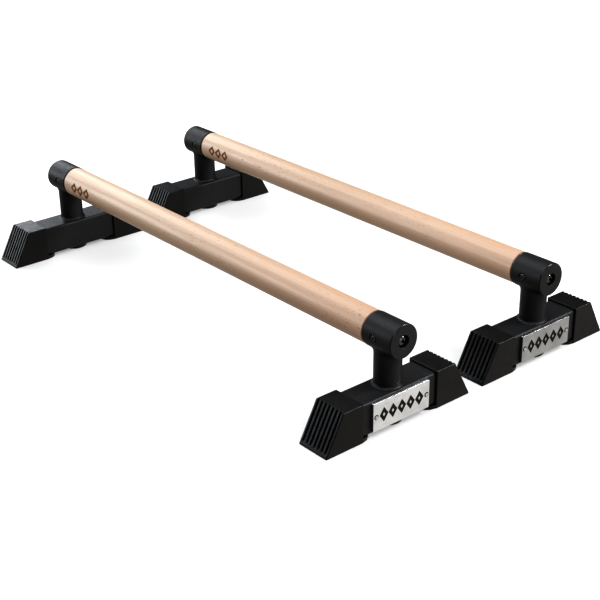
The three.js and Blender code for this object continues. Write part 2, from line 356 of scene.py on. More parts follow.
def post():
    """A tube with a weld bead round its foot and a weld that flares up to the sleeve."""
    turns = [2 * math.pi * i / ROUND_STEPS for i in range(ROUND_STEPS)]
    foot = tube_high.z
    inner = POST_RADIUS - POST_WALL

    def row(radius_and_height):
        points = []
        for turn in turns:
            radius, height = radius_and_height(turn)
            points.append((radius * math.cos(turn), radius * math.sin(turn), height))
        return points

    def bead(share):
        def place(turn):
            wave = math.sin(FOOT_WELD_RIPPLES * turn + FOOT_WELD_LEAN * share)
            leg = FOOT_WELD * (1 + FOOT_WELD_RIPPLE * wave)
            angle = share * math.pi / 2
            out = math.cos(angle) ** (2 * FOOT_WELD_HOLLOW)
            up = math.sin(angle) ** (2 * FOOT_WELD_HOLLOW)
            return POST_RADIUS + leg * out, foot + leg * up
        return place

    def flare(share):
        def place(turn):
            across = abs(math.cos(turn))
            joint = saddle_height(POST_RADIUS * across)
            top_radius = POST_RADIUS + TOP_WELD * (TOP_WELD_LEAST + (1 - TOP_WELD_LEAST) * across)
            start = Vector((POST_RADIUS, joint - TOP_WELD_RISE))
            control = Vector((POST_RADIUS, joint))
            end = Vector((top_radius, saddle_height(top_radius * across) + FIT))
            point = (1 - share) ** 2 * start + 2 * share * (1 - share) * control + share ** 2 * end
            return point.x, point.y
        return place

    loops = [row(bead(k / FOOT_WELD_STEPS)) for k in range(FOOT_WELD_STEPS + 1)]
    loops += [row(flare(k / TOP_WELD_STEPS)) for k in range(TOP_WELD_STEPS + 1)]
    loops.append(row(lambda turn: (inner, saddle_height(inner * math.cos(turn)) + FIT)))
    loops.append(row(lambda turn: (inner, foot)))
    return lofted(loops, ring=True)


def sleeve(screw_side):
    """The tube that holds the rail's end, with the side screw's hole on the side that screw_side says."""
    seam = plug_low.y + PLUG_FLANGE
    bore = SLEEVE_RADIUS - SLEEVE_WALL
    body = turned(filleted([
        (SLEEVE_RADIUS, seam, 0), (SLEEVE_RADIUS, sleeve_high.y, SLEEVE_LIP),
        (bore, sleeve_high.y, SLEEVE_LIP), (bore, seam, 0),
    ]), ring=True)
    skin = math.sqrt(SLEEVE_RADIUS ** 2 - SIDE_HOLE_RADIUS ** 2)
    mouth_radius = SIDE_HOLE_RADIUS + 3 * SIDE_HOLE_LIP
    drill = turned([
        (0, 0), (SIDE_HOLE_RADIUS, 0), (SIDE_HOLE_RADIUS, skin - SIDE_HOLE_LIP),
        (mouth_radius, skin + 2 * SIDE_HOLE_LIP), (mouth_radius, 2 * SLEEVE_RADIUS), (0, 2 * SLEEVE_RADIUS),
    ], SMALL_STEPS)
    place = (side_screw_low.y + side_screw_high.y) / 2
    hole = moved(drill, spin(-90 * screw_side, "Z"), shift(0, place, 0))
    return moved(combined(body, [hole]), shift(0, 0, RAIL_HEIGHT))


def end_plug():
    """The plug that closes the sleeve's outer end, with a counterbored hole for the rail bolt."""
    face, seam = plug_low.y, plug_low.y + PLUG_FLANGE
    spigot = SLEEVE_RADIUS - SLEEVE_WALL - FIT
    return moved(turned(filleted([
        (PLUG_BORE, face, SLEEVE_LIP), (SLEEVE_RADIUS, face, PLUG_EDGE), (SLEEVE_RADIUS, seam - FIT, 0),
        (spigot, seam - FIT, 0), (spigot, plug_high.y, PLUG_EDGE / 2), (PLUG_THROUGH, plug_high.y, 0),
        (PLUG_THROUGH, face + PLUG_BORE_DEPTH, SLEEVE_LIP), (PLUG_BORE, face + PLUG_BORE_DEPTH, SLEEVE_LIP),
    ]), ring=True), shift(0, 0, RAIL_HEIGHT))


def rail_bolt():
    """A button head bolt with a hexagon socket."""
    head, seat = bolt_high.x, bolt_low.y + BOLT_HEAD
    shaft = threaded(BOLT_SHAFT, THREAD_DEPTH, THREAD_PITCH, seat + THREAD_PITCH, bolt_high.y - THREAD_PITCH)
    crown = [(head * math.sin(angle), bolt_low.y + BOLT_CROWN * (1 - math.cos(angle)))
             for angle in quarter_turn(BOLT_CROWN_STEPS)]
    top = crown + [(head, seat), (BOLT_SHAFT, seat)]
    body = turned(top + shaft + [(0, bolt_high.y)], SMALL_STEPS)
    corner = BOLT_SOCKET / math.cos(math.pi / HEXAGON)
    hexagon = rod(corner, -BOLT_SOCKET_DEPTH, BOLT_SOCKET_DEPTH, HEXAGON)
    socket = moved(hexagon, shift(0, bolt_low.y, 0))
    return moved(combined(body, [socket]), shift(0, 0, RAIL_HEIGHT))


def insert():
    """The threaded insert in the rail's end grain."""
    outer, bore = insert_high.x, BOLT_SHAFT + SCREW_HOLE_PLAY
    root = outer - INSERT_THREAD
    start = insert_low.y + INSERT_LEAD * INSERT_PITCH
    thread = threaded(outer, INSERT_THREAD, INSERT_PITCH, start, insert_high.y)
    profile = [
        (bore, insert_low.y), (root, insert_low.y), *thread, (root, insert_high.y), (bore, insert_high.y),
    ]
    return moved(turned(profile, SMALL_STEPS, ring=True), shift(0, 0, RAIL_HEIGHT))


def pan_head_screw(head, head_height, shaft, length):
    """A screw along Y with its head's top at y = 0 and its point towards -Y."""
    point = -length + SCREW_POINT * shaft
    thread = threaded(shaft, SCREW_DEPTH * shaft, SCREW_PITCH * shaft, point, -head_height)
    crown = filleted([
        (0, 0, 0), (head, 0, SCREW_DOME * head_height), (head, -head_height, 0), (shaft, -head_height, 0),
    ], False)
    body = turned([(0, -length)] + thread + crown[::-1], SMALL_STEPS)
    return combined(body, cross_recess(CROSS_REACH * head))


def side_screw(screw_side):
    length = side_screw_high.x - side_screw_low.x
    head = (side_screw_high.y - side_screw_low.y) / 2
    reach = -side_screw_low.x
    place = (side_screw_low.y + side_screw_high.y) / 2
    screw = pan_head_screw(head, SIDE_SCREW_HEAD, SIDE_SCREW_SHAFT, length)
    return moved(screw, shift(0, reach, 0), spin(-90 * screw_side, "Z"), shift(0, place, RAIL_HEIGHT))


def cap_outline(recess):
    """Side view of a cap, in X and Z, with its sloping face moved in by recess above the grooves' foot."""
    corners = [(CAP_INNER, 0, 0), (cap_high.x, 0, CAP_EDGE)]
    slope = (cap_high.x - CAP_TOP_OUTER) / cap_high.z
    for level in SLOPE_LEVELS:
        corners.append((cap_high.x - slope * level * GROOVE_FOOT, level * GROOVE_FOOT, 0))
    corners += [(CAP_TOP_OUTER, cap_high.z, CAP_EDGE), (CAP_INNER, cap_high.z, CAP_EDGE)]
    outline = []
    for x, z in filleted(corners):
        start, full = GROOVE_RISE
        rise = min(max((z / GROOVE_FOOT - start) / (full - start), 0), 1)
        on_slope = x > CAP_TOP_OUTER - CAP_EDGE
        outline.append((x - recess * on_slope * rise * rise * (3 - 2 * rise), z))
    return outline


def cap_sections():
    """(y, inset, recess) of each section across a cap, from one side to the other."""
    side = []
    for angle in quarter_turn(FILLET_STEPS):
        side.append((cap_low.y + CAP_EDGE * (1 - math.cos(angle)), CAP_EDGE * (1 - math.sin(angle)), 0))
    grooves = []
    for i in range(GROOVE_COUNT):
        middle = (i - (GROOVE_COUNT - 1) / 2) * GROOVE_PITCH
        wall = [(GROOVE_HALF + out * MM, share * GROOVE_DEPTH) for out, share in GROOVE_WALL]
        grooves += [(middle - out, 0, depth) for out, depth in wall]
        grooves += [(middle + out, 0, depth) for out, depth in wall[::-1]]
    return side + grooves + [(-y, edge, recess) for y, edge, recess in side[::-1]]


def end_cap():
    """A ribbed rubber cap at the +X end, with a tongue that reaches under the tube."""
    body = lofted([[(x, y, z) for x, z in inset(cap_outline(recess), edge)]
                   for y, edge, recess in cap_sections()])

    tip, root, half = cap_low.x, CAP_INNER + TONGUE_CORNER, TONGUE_HALF
    plan = filleted([
        (tip, -half, TONGUE_CORNER), (root, -half, 0), (root, half, 0), (tip, half, TONGUE_CORNER),
    ])
    sole = [(TONGUE_EDGE * (1 - math.sin(angle)), TONGUE_EDGE * (1 - math.cos(angle)))
            for angle in quarter_turn(FILLET_STEPS)]
    levels = [(edge, TONGUE_LIFT + rise) for edge, rise in sole] + [(0, tube_low.z - FIT)]
    tongue = lofted([[(x, y, z) for x, y in inset(plan, edge)] for edge, z in levels])

    size = TUBE_SIZE + 2 * FIT
    sections = []
    mouth = [
        (CAP_INNER - CAP_MOUTH, 2 * CAP_MOUTH), (CAP_INNER, CAP_MOUTH), (CAP_INNER + CAP_MOUTH, 0),
        (tube_high.x + FIT, 0),
    ]
    for x, grow in mouth:
        opening = rounded_rectangle(size + 2 * grow, size + 2 * grow, TUBE_CORNER + grow)
        sections.append([(x, y, TUBE_MIDDLE + z) for y, z in opening])
    pocket = lofted(sections)
    return combined(combined(body, [tongue], "UNION"), [pocket])


def round_pad():
    radius, sole, top = pad_high.x, pad_low.z, tube_low.z - FIT
    hole = PAD_SCREW_SHAFT + SCREW_HOLE_PLAY
    profile = filleted([
        (hole, sole + PAD_RECESS_DEPTH, 0), (PAD_RECESS, sole + PAD_RECESS_DEPTH, 0),
        (PAD_RECESS, sole, SLEEVE_LIP), (radius, sole, CAP_EDGE), (radius, top, SLEEVE_LIP), (hole, top, 0),
    ])
    return moved(turned(profile, ring=True), spin(90, "X"))


def pad_screw():
    head = (pad_screw_high.x - pad_screw_low.x) / 2
    screw = pan_head_screw(head, PAD_SCREW_SHAFT, PAD_SCREW_SHAFT, pad_screw_high.z - pad_screw_low.z)
    return moved(screw, spin(-90, "X"), shift(0, 0, pad_screw_low.z))


# ---- nameplate and rail ----
def lozenges(mark):
    """The outer and inner outline of each lozenge of a row that is centred on the origin."""
    steps = 4 * MARK_EDGE_STEPS
    rows = []
    for i in range(mark["count"]):
        middle = (i - (mark["count"] - 1) / 2) * mark["pitch"]
        slant = math.hypot(mark["width"], mark["height"]) / (mark["width"] * mark["height"])
        inner = 1 - 2 * mark["stroke"] * slant
        pair = []
        for scale in (1, inner):
            points = []
            for k in range(steps):
                corner, share = divmod(k / MARK_EDGE_STEPS, 1)
                here, there = corner * math.pi / 2, (corner + 1) * math.pi / 2
                x = (1 - share) * math.cos(here) + share * math.cos(there)
                y = (1 - share) * math.sin(here) + share * math.sin(there)
                points.append((middle + scale * x * mark["width"] / 2, scale * y * mark["height"] / 2))
            pair.append(points)
        rows.append(pair)
    return rows


def engravers(mark, material, place):
    """A cutter for each lozenge. place(x, y, side) is a point under the surface (side 0) or over it (1)."""
    cutters = []
    for outer, inner in lozenges(mark):
        cutter = lofted([[place(x, y, side) for x, y in outline]
                         for outline, side in ((outer, 0), (outer, 1), (inner, 1), (inner, 0))], ring=True)
        cutter.materials.append(material)
        cutters.append(cutter)
    return cutters


def nameplate(finish, fill_and_shade):
    """The plate, with a row of filled lozenges and a dark ring round each rivet, painted shade round the
    rivet heads.
    """
    width, height = plate_high.x - plate_low.x, plate_high.z - plate_low.z
    outline = rounded_rectangle(width, height, PLATE_CORNER)
    edges = [(PLATE_EDGE * (1 - math.cos(angle)), PLATE_EDGE * (1 - math.sin(angle)))
             for angle in quarter_turn(FILLET_STEPS)]
    levels = [(plate_low.y + back, edge) for back, edge in edges] + [(plate_high.y, 0)]
    body = lofted([[(x, y, PLATE_MIDDLE + z) for x, z in inset(outline, edge)] for y, edge in levels])
    body.materials.append(finish)

    def place(x, z, side):
        return x, plate_low.y + PLATE_MARK_DEPTH * (1 - MARK_CUTTER * side), PLATE_MIDDLE + z

    # painted shade: a dark filled ring round each rivet's head
    rings = []
    for x in (RIVET_PLACE, -RIVET_PLACE):
        ring = rod(RIVET_SHADE_RING, -RIVET_SHADE_RING_DEPTH, RIVET_SHADE_RING_DEPTH)
        ring.materials.append(fill_and_shade)
        rings.append(moved(ring, shift(x, plate_low.y, PLATE_MIDDLE)))
    return combined(body, rivet_holes() + rings + engravers(PLATE_MARK, fill_and_shade, place))


def plate_rivet(x):
    radius, seat = (rivet_high.x - rivet_low.x) / 2, rivet_low.y + RIVET_HEAD
    profile = filleted([
        (0, rivet_low.y, 0), (RIVET_FLAT * radius, rivet_low.y, RIVET_HEAD),
        (radius, seat - RIVET_BRIM * RIVET_HEAD, 0), (radius, seat, 0),
        (RIVET_SHAFT, seat, 0), (RIVET_SHAFT, rivet_high.y, 0), (0, rivet_high.y, 0),
    ], False)
    return moved(turned(profile, SMALL_STEPS), shift(x, 0, PLATE_MIDDLE))


def rail(finish, burn):
    """The rail with its tenons, holes and burnt mark, from the foot of its bar's front post."""
    half = (rail_high.y - rail_low.y) / 2
    tenon = SLEEVE_RADIUS - SLEEVE_WALL - FIT
    insert_floor = half - (insert_high.y - rail_low.y) - FIT
    bolt_floor = half - (bolt_high.y - rail_low.y) - FIT
    end = filleted([
        (0, -bolt_floor, 0), (BOLT_HOLE, -bolt_floor, 0), (BOLT_HOLE, -insert_floor, 0),
        (INSERT_HOLE, -insert_floor, 0), (INSERT_HOLE, -half, 0), (tenon, -half, SHOULDER_EDGE),
        (tenon, TENON_LENGTH - half, 0), (RAIL_RADIUS, TENON_LENGTH - half, SHOULDER_EDGE),
        (RAIL_RADIUS, 0, 0),
    ], False)[:-1]
    body = turned(end + [(radius, -y) for radius, y in end[::-1]])
    body.materials.append(finish)
    to_post = half + rail_low.y
    hole = SIDE_SCREW_SHAFT + SCREW_HOLE_PLAY
    screw_place = (side_screw_low.y + side_screw_high.y) / 2
    pilots = []
    for side in (-1, 1):
        pilot = rod(hole, PILOT_FLOOR, RAIL_RADIUS * 2)
        pilots.append(moved(pilot, spin(90, "Z"), shift(0, side * (to_post - screw_place), 0)))

    def place(y, around, side):
        radius = RAIL_RADIUS - RAIL_MARK_DEPTH * (1 - MARK_CUTTER * side)
        angle = RAIL_MARK_TURN + around / RAIL_RADIUS
        return -radius * math.cos(angle), y + to_post - RAIL_MARK_PLACE, radius * math.sin(angle)

    cut = combined(body, pilots + engravers(RAIL_MARK, burn, place))
    return moved(cut, shift(0, RAIL_MIDDLE, RAIL_HEIGHT))


# ---- materials ----
class Look:
    """A node material around one Principled shader, with textures placed in the object's own frame."""

    def __init__(self, name, **finish):
        self.material = bpy.data.materials.new(name)
        self.material.use_nodes = True
        self.nodes = self.material.node_tree.nodes
        self.shader = self.nodes["Principled BSDF"]
        for socket, value in finish.items():
            self.shader.inputs[socket.replace("_", " ")].default_value = value
        self.here = self.nodes.new("ShaderNodeTexCoord").outputs["Object"]

    def node(self, kind, inputs, **settings):
        made = self.nodes.new("ShaderNode" + kind)
        for setting, value in settings.items():
            setattr(made, setting, value)
        for socket, value in inputs.items():
            self.feed(made.inputs[socket], value)
        return made

    def feed(self, socket, value):
        if isinstance(value, bpy.types.NodeSocket):
            self.material.node_tree.links.new(value, socket)
        else:
            socket.default_value = value

    def stretched(self, scale, offset=(0, 0, 0)):
        """The place on the object, offset and then scaled: features per metre along X, Y and Z."""
        moved_here = self.node("VectorMath", {0: self.here, 1: offset}, operation="ADD").outputs[0]
        return self.node("VectorMath", {0: moved_here, 1: scale}, operation="MULTIPLY").outputs[0]

    def noise(self, scale, detail=2.0, roughness=0.5, offset=(0, 0, 0)):
        """Noise from about 0.3 to 0.7, with scale features per metre along X, Y and Z."""
        place = self.stretched(scale, offset)
        settings = {"Vector": place, "Scale": 1.0, "Detail": detail, "Roughness": roughness}
        return self.node("TexNoise", settings).outputs["Fac"]

    def between(self, value, low, high, to_low=0.0, to_high=1.0, smooth=False):
        """The value mapped from low..high to to_low..to_high, and held there."""
        ease = "SMOOTHSTEP" if smooth else "LINEAR"
        settings = {"Value": value, "From Min": low, "From Max": high, "To Min": to_low, "To Max": to_high}
        return self.node("MapRange", settings, interpolation_type=ease).outputs["Result"]

    def maths(self, operation, a, b=0.0):
        return self.node("Math", {0: a, 1: b}, operation=operation).outputs[0]

    def clouds(self, value, tones):
        """The darker tone going to the lighter one over the range of a noise."""
        return self.blend(self.between(value, NOISE_LOW, NOISE_HIGH), *tones)

    def blend(self, amount, a, b):
        """Colour a going to b by amount."""
        made = self.node("Mix", {}, data_type="RGBA")
        for socket, value in zip((made.inputs["Factor"], made.inputs[6], made.inputs[7]), (amount, a, b)):
            self.feed(socket, value)
        return made.outputs[2]

    def colour(self, value):
        self.feed(self.shader.inputs["Base Color"], value)

    def rough(self, value):
        self.feed(self.shader.inputs["Roughness"], value)

    def bump(self, height, depth, strength=1.0):
        """Relief of the given depth in metres where the height goes from 0 to 1."""
        made = self.node("Bump", {"Height": height, "Distance": depth, "Strength": strength})
        self.feed(self.shader.inputs["Normal"], made.outputs["Normal"])


NOISE_LOW, NOISE_HIGH = 0.3, 0.7           # the range that most of a noise texture's values lie in
# colours, as linear red, green, blue and alpha; a pair is the darker and the lighter tone
COAT_TONES = (0.0135, 0.0141, 0.0155, 1), (0.0192, 0.0200, 0.0218, 1)
RUBBER_TONES = (0.0062, 0.0065, 0.0073, 1), (0.0102, 0.0107, 0.0119, 1)
PALE_WOOD = (0.39, 0.285, 0.208, 1), (0.475, 0.372, 0.292, 1)
# painted shade: the darker, browner tones of the rails' front ends
PAINTED_SHADE_WOOD = (0.385, 0.258, 0.183, 1), (0.47, 0.345, 0.262, 1)
LATE_WOOD = (0.36, 0.23, 0.145, 1)
STREAK = (0.38, 0.26, 0.18, 1)
PORE = (0.33, 0.20, 0.12, 1)
FLECK = (0.20, 0.10, 0.055, 1)
# painted shade: the dark gap where the rail meets its sleeve
PAINTED_JOINT_SHADE = (0.09, 0.04, 0.018, 1)
CHAR_TONES = (0.10, 0.045, 0.02, 1), (0.26, 0.125, 0.06, 1)
# the two nameplates are one steel: the left plate's lighter tones are a painted highlight and the right
# plate's darker tones painted shade
PAINTED_LIT_STEEL = (0.715, 0.735, 0.765, 1), (0.85, 0.876, 0.91, 1)
PAINTED_SHADE_STEEL = (0.385, 0.397, 0.41, 1), (0.48, 0.497, 0.518, 1)
BRUSH_LINE = (0.30, 0.297, 0.29, 1)
# black of the filled lozenges, also used for the painted shade round the rivets
ENAMEL_AND_SHADE_TONES = (0.008, 0.008, 0.008, 1), (0.018, 0.018, 0.018, 1)
ZINC_TONES = (0.50, 0.51, 0.52, 1), (0.66, 0.67, 0.68, 1)
BRASS_TONES = (0.62, 0.42, 0.16, 1), (0.78, 0.56, 0.24, 1)
BLACK_STEEL_TONES = (0.12, 0.12, 0.123, 1), (0.16, 0.16, 0.163, 1)
PAPER_TONES = (0.42, 0.42, 0.42, 1), (0.44, 0.44, 0.44, 1)
WHITE = (1, 1, 1, 1)
# roughness of each finish, from its smoothest to its roughest spots
COAT_ROUGHNESS = (0.44, 0.54)
RUBBER_ROUGHNESS = (0.35, 0.47)
WOOD_ROUGHNESS = (0.42, 0.52)
CHAR_ROUGHNESS = (0.75, 0.9)
STEEL_ROUGHNESS = (0.30, 0.46)
ENAMEL_ROUGHNESS = (0.5, 0.7)
ZINC_ROUGHNESS = (0.22, 0.36)
BRASS_ROUGHNESS = (0.25, 0.4)
BLACK_STEEL_ROUGHNESS = (0.12, 0.2)
PAPER_ROUGHNESS = (0.85, 0.95)

RAIL_OFFSET = abs(POST_FOOT.x)
RIM_END = abs(POST_FOOT.y + plug_low.y)
RIM_POLISH = 0.27                          # how much smoother the coat is where it is rubbed
RIM_WEAR = (PLUG_EDGE, 0.4 * PLUG_EDGE)    # from the plug's outer corner, where the wear starts and is full


def rubbed_rims(look):
    """1 on the rounded outer edges of the plugs, where the coat is rubbed smooth, and 0 elsewhere."""
    place = look.node("SeparateXYZ", {0: look.here}).outputs
    across = look.maths("SUBTRACT", look.maths("ABSOLUTE", place["X"]), RAIL_OFFSET)
    above = look.maths("SUBTRACT", place["Z"], RAIL_HEIGHT)
    from_axis = look.maths("SQRT", look.maths("ADD", look.maths("POWER", look.maths("ABSOLUTE", across), 2.0),
                                              look.maths("POWER", look.maths("ABSOLUTE", above), 2.0)))
    start, full = RIM_WEAR
    outer = look.between(from_axis, SLEEVE_RADIUS - start, SLEEVE_RADIUS - full)
    end = look.between(look.maths("ABSOLUTE", place["Y"]), RIM_END - start, RIM_END - full)
    return look.maths("MULTIPLY", outer, end)


def powder_coat():
    look = Look("powder_coat", Specular_IOR_Level=0.4)
    cloud = look.noise((18, 18, 18), 3)
    look.colour(look.clouds(cloud, COAT_TONES))
    coat = look.between(look.noise((240, 240, 240), 2), NOISE_LOW, NOISE_HIGH, *COAT_ROUGHNESS)
    look.rough(look.maths("SUBTRACT", coat, look.maths("MULTIPLY", rubbed_rims(look), RIM_POLISH)))
    orange_peel = look.noise((900, 900, 900), 2, 0.6)
    look.bump(orange_peel, 0.08 * MM, 0.5)
    return look.material


def rubber():
    look = Look("rubber", Specular_IOR_Level=0.4)
    cloud = look.noise((30, 30, 30), 3)
    look.colour(look.clouds(cloud, RUBBER_TONES))
    look.rough(look.between(look.noise((160, 160, 160), 3), NOISE_LOW, NOISE_HIGH, *RUBBER_ROUGHNESS))
    look.bump(look.noise((1400, 1400, 1400), 3, 0.65), 0.06 * MM, 0.4)
    return look.material


PAINTED_JOINT_SHADE_END = rail_high.y - RAIL_MIDDLE - TENON_LENGTH
PAINTED_JOINT_SHADE_START = PAINTED_JOINT_SHADE_END - 2.8 * MM         # painted shade of the gap at the sleeve: the wood's edge against the sleeve is darkened from here
PAINTED_JOINT_SHADE_FULL = PAINTED_JOINT_SHADE_END - 1.2 * MM
PITH = (0.031, 0.022)                      # from the growth rings' centre to the rail's axis, in X and Z
PITH_LEAN = 0.012                          # share of the length that counts as distance from the pith
RINGS = 340.0                              # growth rings per metre
RING_WAVER = 5.0                           # how far they wander, in rings
PAINTED_FRONT_SHADE = (0.16, -0.26)                   # painted shade: the wood goes from pale to darker brown towards the front, between these places in Y
PAINTED_FRONT_SHADE_WAVER = 0.1
LATE_SHARE, STREAK_SHARE, PORE_SHARE, FLECK_SHARE = 0.42, 0.34, 0.25, 0.75


def beech(name, axis_x, seed):
    """Beech along Y round the axis at axis_x: soft growth rings, fine streaks and short dark flecks."""
    look = Look(name, Specular_IOR_Level=0.9)
    offset = (-axis_x, seed, -RAIL_HEIGHT)
    from_pith = (-axis_x + PITH[0], 0, -RAIL_HEIGHT - PITH[1])
    pith = look.node("VectorMath", {0: look.here, 1: from_pith}, operation="ADD").outputs[0]
    across = look.node("VectorMath", {0: pith, 1: (1, PITH_LEAN, 1)}, operation="MULTIPLY").outputs[0]
    distance = look.node("VectorMath", {0: across}, operation="LENGTH").outputs["Value"]
    waver = look.noise((14, 1.6, 14), 3, 0.5, offset)
    rings = look.maths("ADD", look.maths("MULTIPLY", distance, RINGS),
                       look.maths("MULTIPLY", waver, RING_WAVER))
    ring = look.maths("FRACT", rings)
    late_wood = look.maths("MULTIPLY", look.between(ring, 0.35, 0.95, smooth=True),
                           look.between(ring, 1.0, 0.95))

    tone = look.between(look.noise((7, 2.2, 7), 3, 0.5, offset), 0.32, 0.68)
    streaks = look.between(look.noise((300, 7, 300), 3, 0.6, offset), 0.34, 0.66)
    pores = look.between(look.noise((1500, 70, 1500), 2, 0.5, offset), 0.60, 0.74)
    flecks = look.between(look.noise((620, 170, 620), 1, 0.4, offset), 0.665, 0.71)
    patches = look.between(look.noise((9, 3, 9), 2, 0.5, (seed, 0.4, 0.2)), 0.45, 0.62)

    along = look.node("SeparateXYZ", {0: look.here}).outputs["Y"]
    # painted shade: the rails darken and brown towards their front ends
    place = look.maths("ADD", along, look.maths("MULTIPLY", waver, PAINTED_FRONT_SHADE_WAVER))
    front_shade = look.between(place, *PAINTED_FRONT_SHADE, smooth=True)
    wood = look.blend(front_shade, look.blend(tone, *PALE_WOOD), look.blend(tone, *PAINTED_SHADE_WOOD))
    wood = look.blend(look.maths("MULTIPLY", late_wood, LATE_SHARE), wood, LATE_WOOD)
    wood = look.blend(look.maths("MULTIPLY", streaks, STREAK_SHARE), wood, STREAK)
    wood = look.blend(look.maths("MULTIPLY", pores, PORE_SHARE), wood, PORE)
    fleck_amount = look.maths("MULTIPLY", look.maths("MULTIPLY", flecks, patches), FLECK_SHARE)
    wood = look.blend(fleck_amount, wood, FLECK)
    # painted shade of the gap between the rail and its sleeve, darkened into the wood's colour
    joint_shade = look.between(look.maths("ABSOLUTE", along), PAINTED_JOINT_SHADE_START, PAINTED_JOINT_SHADE_FULL, smooth=True)
    wood = look.blend(joint_shade, wood, PAINTED_JOINT_SHADE)
    look.colour(wood)
    look.rough(look.between(streaks, 0, 1, *WOOD_ROUGHNESS))
    relief = look.maths("SUBTRACT", look.maths("MULTIPLY", streaks, 0.4), pores)
    look.bump(relief, 0.05 * MM, 0.35)
    return look.material


def burnt_wood():
    look = Look("burnt_wood", Specular_IOR_Level=0.3)
    char = look.between(look.noise((900, 300, 900), 3, 0.6), 0.35, 0.65)
    look.colour(look.blend(char, *CHAR_TONES))
    look.rough(look.between(char, 0, 1, *CHAR_ROUGHNESS))
    look.bump(char, 0.06 * MM, 0.5)
    return look.material


def brushed_steel(name, tones):
    """Steel brushed along X, with lines of BRUSH_LINE over cloudy tones."""
    look = Look(name, Metallic=1.0)
    lines = look.noise((45, 3000, 5200), 3, 0.7)
    blotches = look.noise((60, 60, 60), 3, 0.6)
    steel = look.blend(look.between(blotches, 0.35, 0.65), *tones)
    look.colour(look.blend(look.between(lines, NOISE_LOW, NOISE_HIGH, 0, 0.45), steel, BRUSH_LINE))
    look.rough(look.between(lines, NOISE_LOW, NOISE_HIGH, *STEEL_ROUGHNESS))
    look.bump(lines, 0.02 * MM, 0.6)
    return look.material


def enamel_and_shade():
    look = Look("black_fill_and_painted_shade", Specular_IOR_Level=0.35)
    grit = look.noise((1200, 1200, 1200), 2)
    look.colour(look.clouds(grit, ENAMEL_AND_SHADE_TONES))
    look.rough(look.between(grit, NOISE_LOW, NOISE_HIGH, *ENAMEL_ROUGHNESS))
    look.bump(grit, 0.03 * MM, 0.5)
    return look.material


def plated(name, tones, roughness):
    """Metal with a turned or plated finish: cloudy tones and fine marks."""
    look = Look(name, Metallic=1.0)
    cloud = look.noise((300, 300, 300), 3)
    marks = look.noise((2600, 2600, 2600), 2)
    look.colour(look.clouds(cloud, tones))
    look.rough(look.between(marks, NOISE_LOW, NOISE_HIGH, *roughness))
    look.bump(marks, 0.01 * MM, 0.4)
    return look.material


def black_steel():
    look = Look("black_steel", Metallic=1.0)
    cloud = look.noise((500, 500, 500), 2)
    look.colour(look.clouds(cloud, BLACK_STEEL_TONES))
    marks = look.noise((1800, 1800, 1800), 2)
    look.rough(look.between(marks, NOISE_LOW, NOISE_HIGH, *BLACK_STEEL_ROUGHNESS))
    look.bump(cloud, 0.01 * MM, 0.4)
    return look.material


# ---- assembly ----
def add_piece(node, mesh, finish):
    """Shows the mesh in place of a CAD node, riding on the same body."""
    piece = bpy.data.objects.new(node + "_shape", mesh)
    bpy.context.scene.collection.objects.link(piece)
    if not mesh.materials:
        mesh.materials.append(finish)
    for slot in range(len(mesh.materials)):
        if mesh.materials[slot] is None:
            mesh.materials[slot] = finish
    mesh.shade_smooth()
    mesh.set_sharp_from_angle(angle=SHARP_ANGLE)
    even = piece.modifiers.new("even_shading", "WEIGHTED_NORMAL")
    even.keep_sharp = True
    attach(piece, BODY_OF[node])
    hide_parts(node)
    return piece


def build():
    finishes = {
        "powder_coat": powder_coat(),
        "rubber": rubber(),
        # the left plate's steel is the lightened copy, a painted highlight
        "brushed_steel": brushed_steel("brushed_steel_painted_lit", PAINTED_LIT_STEEL),
        "zinc": plated("zinc", ZINC_TONES, ZINC_ROUGHNESS),
        "black_steel": black_steel(),
        "brass": plated("brass", BRASS_TONES, BRASS_ROUGHNESS),
    }
    plate_finish = {
        "left": finishes["brushed_steel"],
        # the right plate gets a darker copy of the same steel, painted shade
        "right": brushed_steel("brushed_steel_painted_shade", PAINTED_SHADE_STEEL),
    }
    fill_and_shade, burn = enamel_and_shade(), burnt_wood()
    grain_seed = {"left": 0.37, "right": 1.91}
    cap = end_cap()
    for side in ("left", "right"):
        low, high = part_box(side + "_rail")
        axis_x = (low.x + high.x) / 2
        to_bar = shift(axis_x, POST_FOOT.y, 0)
        wood = beech("beech_" + side, axis_x, grain_seed[side])
        add_piece(side + "_rail", moved(rail(wood, burn), to_bar), wood)
        add_piece(side + "_nameplate", moved(nameplate(plate_finish[side], fill_and_shade), to_bar), plate_finish[side])
        for name, x in (("_plate_rivet_1", RIVET_PLACE), ("_plate_rivet_2", -RIVET_PLACE)):
            add_piece(side + name, moved(plate_rivet(x), to_bar), finishes["zinc"])
        for end, turn, screw_side in (("_front_", 0, -1), ("_rear_", 180, 1)):
            pieces = {
                "base_tube": base_tube(end == "_front_"), "post": post(), "sleeve": sleeve(screw_side),
                "end_plug": end_plug(), "rail_bolt": rail_bolt(), "insert": insert(),
                "side_screw": side_screw(screw_side), "cap_a": cap.copy(),
                "cap_b": moved(cap.copy(), spin(180, "Z")), "round_pad": round_pad(),
                "pad_screw": pad_screw(),
            }
            near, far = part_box(side + end + "post")
            to_end = shift(axis_x, (near.y + far.y) / 2, 0)
            for name, mesh in pieces.items():
                node = side + end + name
                add_piece(node, moved(mesh, spin(turn, "Z"), to_end), finishes[SLOT_OF[node]])


